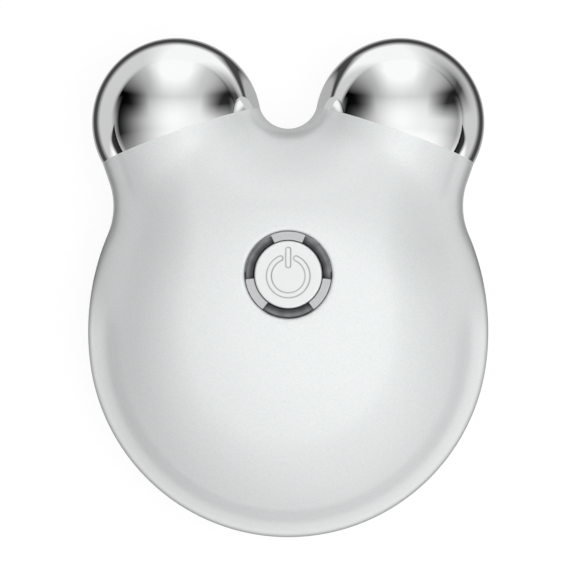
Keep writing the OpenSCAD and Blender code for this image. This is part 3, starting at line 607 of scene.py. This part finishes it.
# ---- Camera, floor, light ----
DIFFUSE_LEVEL = 0.28  # the surroundings' strength for diffuse light
FLOOR_GLOW, GLOW_SHARE = 1.1, 0.8  # the floor's own light straight from the camera, and its share
FRAME_WIDTH = 0.104  # the picture's width at the parting plane, in metres
scene = bpy.context.scene
scene.view_settings.view_transform = "Standard"
camera_data = bpy.data.cameras.new("camera")
camera_data.lens, camera_data.sensor_width = 135, 36
camera = bpy.data.objects.new("camera", camera_data)
camera.location = (-0.00004, -0.00007, parting_z * MM + FRAME_WIDTH * camera_data.lens / camera_data.sensor_width)
scene.collection.objects.link(camera)
scene.camera = camera


def mirrored_floor(x, y, bounces):
    """How bright the floor looks in a mirror, by place in metres. A painted shadow makes it dark under and about each
    sphere;
    it is pale further out, white beyond the spheres except in one corner, and dims towards the horizon. Beside the
    body there is a thin dark rim close in, which is a painted shadow, then a bright apron, then a dark band."""
    reach = away(x, y).at_least(0.001)
    heading = y / reach
    by_body = y.falls(-0.010, 0.006)
    from_body = away(x, y - body_c[1] * MM)
    # the thin dark rim close round the body, taken off the bright apron, is a painted shadow
    apron = from_body.falls(0.10, 0.15) * 0.6 - from_body.falls(0.046, 0.058) * 0.95
    band = by_body * from_body.rises(0.11, 0.17) * mix(heading.falls(-0.95, -0.55), 0.95, 0.45)
    near = (by_body * apron + 0.62) * (1 - band)
    horizon = heading.falls(0.10, 0.45) * 0.35 * (1 - by_body)
    around = mix((0.28 / reach).at_most(1), horizon, near)
    beyond = mix((abs(x) / reach).rises(0.25, 0.50), 0.96, 0.66)
    pale = mix(heading.rises(0.45, 0.95), around, beyond)
    ahead = y - sphere_y * MM
    spread = away(x, ahead).at_least(0.001)
    rise = ahead / spread
    corner = rise.rises(0.10, 0.42) * rise.falls(0.50, 0.86) * x.rises(0, 0.02) * spread.rises(0.050, 0.130)
    from_ball = away(abs(x) - sphere_x * MM, ahead)
    # painted shadow under and about each sphere, seen in mirrors
    painted_shadow_under_ball = mix(from_ball.rises(0.023, 0.028), 0.45, 0.06)
    direct = mix(from_ball.rises(0.036, 0.050), painted_shadow_under_ball, pale * (1 - corner * 0.9))
    return mix(bounces.over(1.5), direct, 0.62)


def floor_material():
    """Pale floor that looks white from the camera where nothing shades it and keeps a faint shadow, and that looks in
    mirrors as its formula says."""
    material = bpy.data.materials.new("pale_floor")
    nodes, links = tree(material)
    shader = nodes["Principled BSDF"]
    for socket, value in (("Base Color", (0.80, 0.80, 0.80, 1)), ("Roughness", 1), ("Specular IOR Level", 0)):
        shader.inputs[socket].default_value = value
    straight, mirrored, bounces = rays(material.node_tree)
    x, y, _ = coordinates(material.node_tree, "Object")
    straight_glow, mirrored_glow, first, second = (
        nodes.new("ShaderNode" + kind) for kind in ("Emission", "Emission", "MixShader", "MixShader"))
    straight_glow.inputs["Strength"].default_value = FLOOR_GLOW
    links.new(mirrored_floor(x, y, bounces).socket, mirrored_glow.inputs["Strength"])
    for mixer, weight, at_0, at_1 in ((first, straight * GLOW_SHARE, shader, straight_glow),
                                      (second, mirrored, first, mirrored_glow)):
        links.new(weight.socket, mixer.inputs["Fac"])
        links.new(at_0.outputs[0], mixer.inputs[1])
        links.new(at_1.outputs[0], mixer.inputs[2])
    links.new(second.outputs[0], nodes["Material Output"].inputs["Surface"])
    return material


def floor():
    mesh = bpy.data.meshes.new("floor")
    mesh.from_pydata([(-3, -3, 0), (3, -3, 0), (3, 3, 0), (-3, 3, 0)], [], [(0, 1, 2, 3)])
    mesh.materials.append(floor_material())
    obj = bpy.data.objects.new("floor", mesh)
    scene.collection.objects.link(obj)


def mirrored_room(x, y, z):
    """How bright the surroundings look in a mirror, by direction: a white ceiling that falls off to dark walls, slowly
    on the right and fast on the left, with a dark patch in both far corners, a white wall beyond the spheres, a grey
    one before the foot and a grey skirting at the horizon on both sides."""
    up = z.at_least(0)
    to_right = (x - y * 0.5 + 0.1).at_least(0).at_most(1)
    ceiling = mix(to_right, up**2.35, (up * 0.9 + 0.25).at_most(1))
    corner = abs(x).rises(0.55, 0.86) * y.rises(0.02, 0.34) * y.falls(0.54, 0.74)
    far_wall = y.rises(0.50, 0.92) ** 1.2 * mix(abs(x).rises(0.25, 0.50), 1, 0.65)
    near_wall = y.falls(-0.9, -0.2) * 0.55
    skirting = z.falls(0, 0.13) * y.falls(0.10, 0.45) * 0.35
    return (ceiling * (1 - corner * 0.94) + far_wall + near_wall + skirting).at_most(1)


def studio():
    """Plain soft surroundings: white straight from the camera, even for diffuse light, a bright room in mirrors."""
    world = bpy.data.worlds.new("studio")
    world.use_nodes = True
    straight, mirrored, _ = rays(world.node_tree)
    room = mirrored_room(*coordinates(world.node_tree, "Generated"))
    strength = mix(mirrored, mix(straight, DIFFUSE_LEVEL, 1), room)
    background = world.node_tree.nodes["Background"].inputs
    background["Color"].default_value = (1, 1, 1, 1)
    world.node_tree.links.new(strength.socket, background["Strength"])
    return world


def lamp(name, place, size, power):
    """A soft box that faces the object and doesn't show in mirrors."""
    data = bpy.data.lights.new(name, "AREA")
    data.shape, data.size, data.size_y, data.energy = "RECTANGLE", size[0], size[1], power
    obj = bpy.data.objects.new(name, data)
    scene.collection.objects.link(obj)
    obj.location = place
    obj.rotation_euler = (obj.location - Vector((0, 0, parting_z * MM))).to_track_quat("Z", "Y").to_euler()
    obj.visible_glossy = False


floor()
scene.world = studio()
lamp("overhead_box", (0.16, -0.08, 0.8), (0.6, 0.6), 4.3)
lamp("far_box", (-0.2, 0.7, 0.5), (0.6, 0.4), 0.9)
